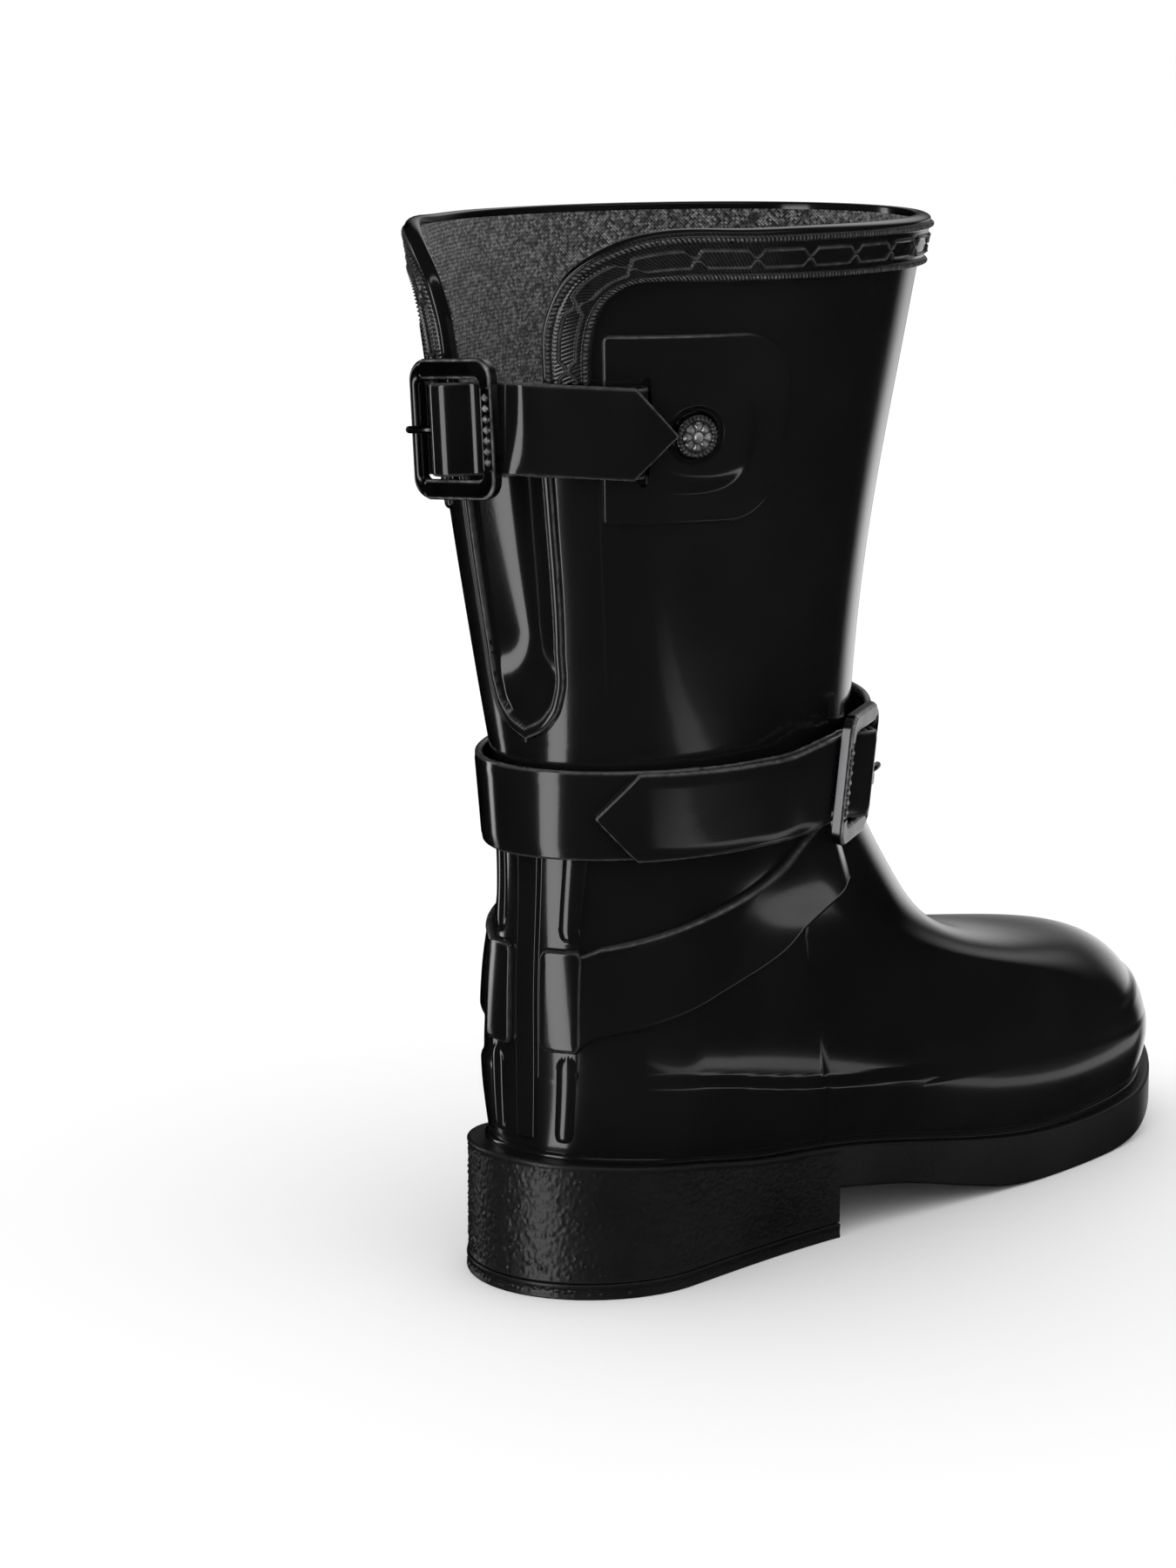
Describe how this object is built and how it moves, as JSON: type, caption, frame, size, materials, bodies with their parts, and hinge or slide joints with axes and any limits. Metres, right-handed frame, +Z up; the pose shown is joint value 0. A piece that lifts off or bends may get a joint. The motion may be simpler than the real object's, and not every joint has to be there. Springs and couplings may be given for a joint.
{
  "type": "rubber rain boot",
  "caption": "Short glossy rubber rain boot for the right foot, with an open back closed by a buckled strap, a buckled ankle strap, a textile lining and a block heel.",
  "frame": {"origin": "middle of the boot's footprint box, on the floor", "axes": "+X from the heel towards the toe, +Y towards the inner side of the foot, +Z up"},
  "size_m": [0.2808, 0.1206, 0.2675],
  "materials": {
    "gloss_rubber": "high gloss black",
    "sole_rubber": "semi-matt black with a fine pebbled grain on the heel",
    "textile_lining": "dark grey plain weave",
    "black_metal": "polished black nickel look",
    "foam": "cloth-faced foam",
    "board": "pressed fibre board",
    "steel": "plain strip steel"
  },
  "bodies": {
    "boot": {"heel_counter": "gloss_rubber", "vamp": "gloss_rubber", "leg_upper": "gloss_rubber", "collar_band": "gloss_rubber", "gusset": "gloss_rubber", "back_stay": "gloss_rubber", "heel_keeper_outer": "gloss_rubber", "heel_keeper_inner": "gloss_rubber", "harness_band_outer": "gloss_rubber", "harness_band_inner": "gloss_rubber", "foxing_band": "gloss_rubber", "welt_bead": "gloss_rubber", "strap_patch_outer": "gloss_rubber", "strap_patch_inner": "gloss_rubber", "top_strap": "gloss_rubber", "top_chape": "gloss_rubber", "ankle_strap": "gloss_rubber", "ankle_chape": "gloss_rubber", "outsole": "sole_rubber", "heel_top_lift": "sole_rubber", "foot_lining": "textile_lining", "leg_lining": "textile_lining", "stud_outer": "black_metal", "stud_inner": "black_metal", "stud_washer_outer": "black_metal", "stud_washer_inner": "black_metal", "top_buckle_frame": "black_metal", "top_buckle_bar": "black_metal", "ankle_buckle_frame": "black_metal", "ankle_buckle_bar": "black_metal", "footbed": "foam", "insole_board": "board", "shank": "steel"},
    "top_prong": {"top_buckle_prong": "black_metal"},
    "top_tail": {"top_strap_tail": "gloss_rubber"},
    "ankle_prong": {"ankle_buckle_prong": "black_metal"},
    "ankle_tail": {"ankle_strap_tail": "gloss_rubber"}
  },
  "joints": [
    {"name": "top_prong_hinge", "type": "hinge", "parent": "boot", "child": "top_prong", "pos_m": [-0.13219, 0.01175, 0.21906], "axis": [-0.1163, 0.0254, 0.9929], "range_deg": [0, 12]},
    {"name": "top_tail_bend", "type": "hinge", "parent": "boot", "child": "top_tail", "pos_m": [-0.1352, -0.00576, 0.21915], "axis": [0.1163, -0.0254, -0.9929], "range_deg": [0, 60], "stiffness_Nm_per_rad": 0.02},
    {"name": "ankle_prong_hinge", "type": "hinge", "parent": "boot", "child": "ankle_prong", "pos_m": [-0.03582, -0.04041, 0.12627], "axis": [-0.0212, 0.095, -0.9953], "range_deg": [0, 12]},
    {"name": "ankle_tail_bend", "type": "hinge", "parent": "boot", "child": "ankle_tail", "pos_m": [-0.05332, -0.04349, 0.12635], "axis": [0.0212, -0.095, 0.9953], "range_deg": [0, 45], "stiffness_Nm_per_rad": 0.03}
  ]
}
